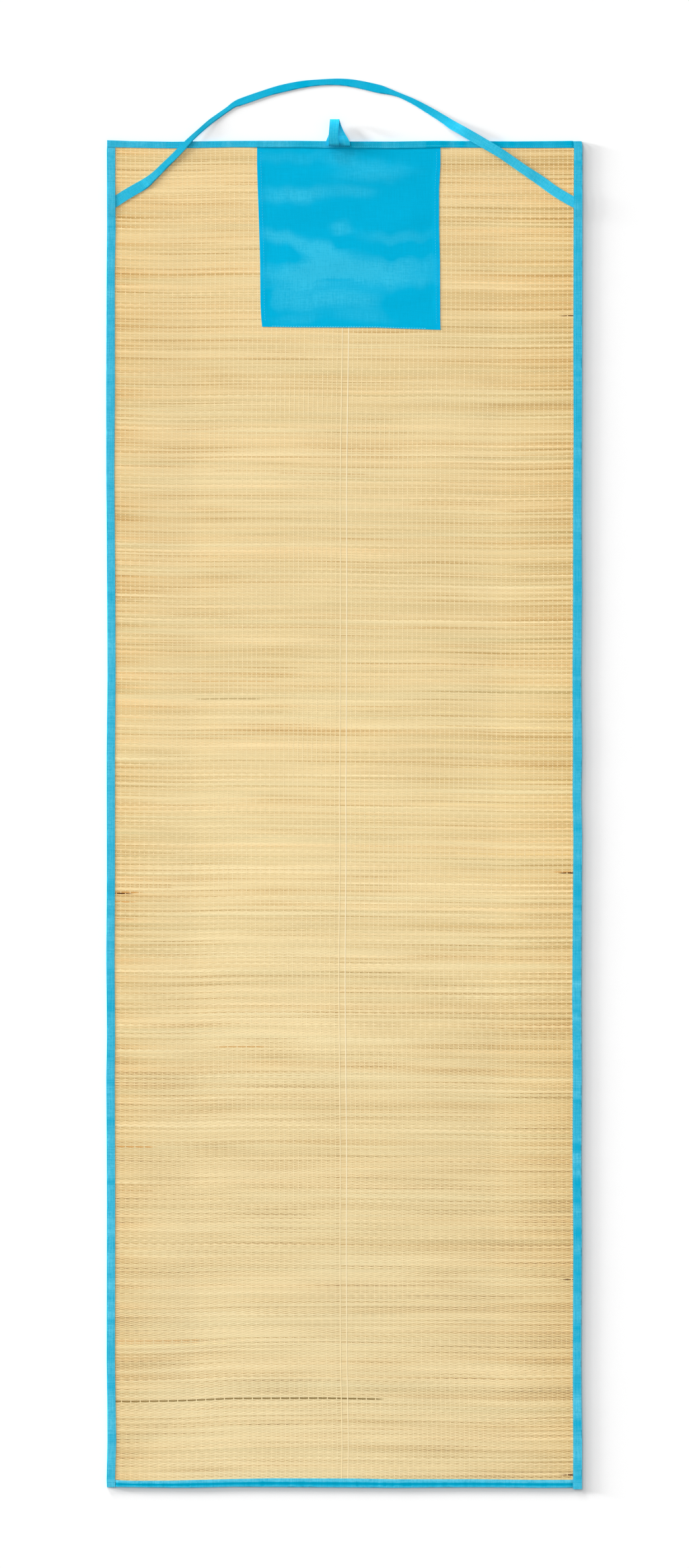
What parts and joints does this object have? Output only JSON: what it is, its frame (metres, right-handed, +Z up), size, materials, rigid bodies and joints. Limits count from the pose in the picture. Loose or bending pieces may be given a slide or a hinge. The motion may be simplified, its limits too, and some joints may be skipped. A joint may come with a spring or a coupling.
{
  "type": "straw beach mat",
  "caption": "Flat woven straw beach mat edged in folded cloth tape, with a sewn cloth pocket, a long carrying strap and a small hanging loop at its head end.",
  "frame": {"origin": "on the ground, at the middle of the mat's underside", "axes": "+X across the mat, +Y along it towards the head end with the pocket and strap, +Z up out of the straw"},
  "size_m": [0.6007, 1.7795, 0.0172],
  "materials": {
    "straw": "woven rush, dry and matt",
    "binding_tape": "folded woven tape, matt",
    "pocket_cloth": "plain woven cloth, matt",
    "strap_tape": "flat woven tape, matt"
  },
  "bodies": {
    "root": {"mat_panel": "straw", "binding_left": "binding_tape", "binding_right": "binding_tape", "binding_head": "binding_tape", "binding_foot": "binding_tape", "pocket_patch": "pocket_cloth", "carrying_strap": "strap_tape", "hanging_loop": "strap_tape"}
  },
  "joints": []
}
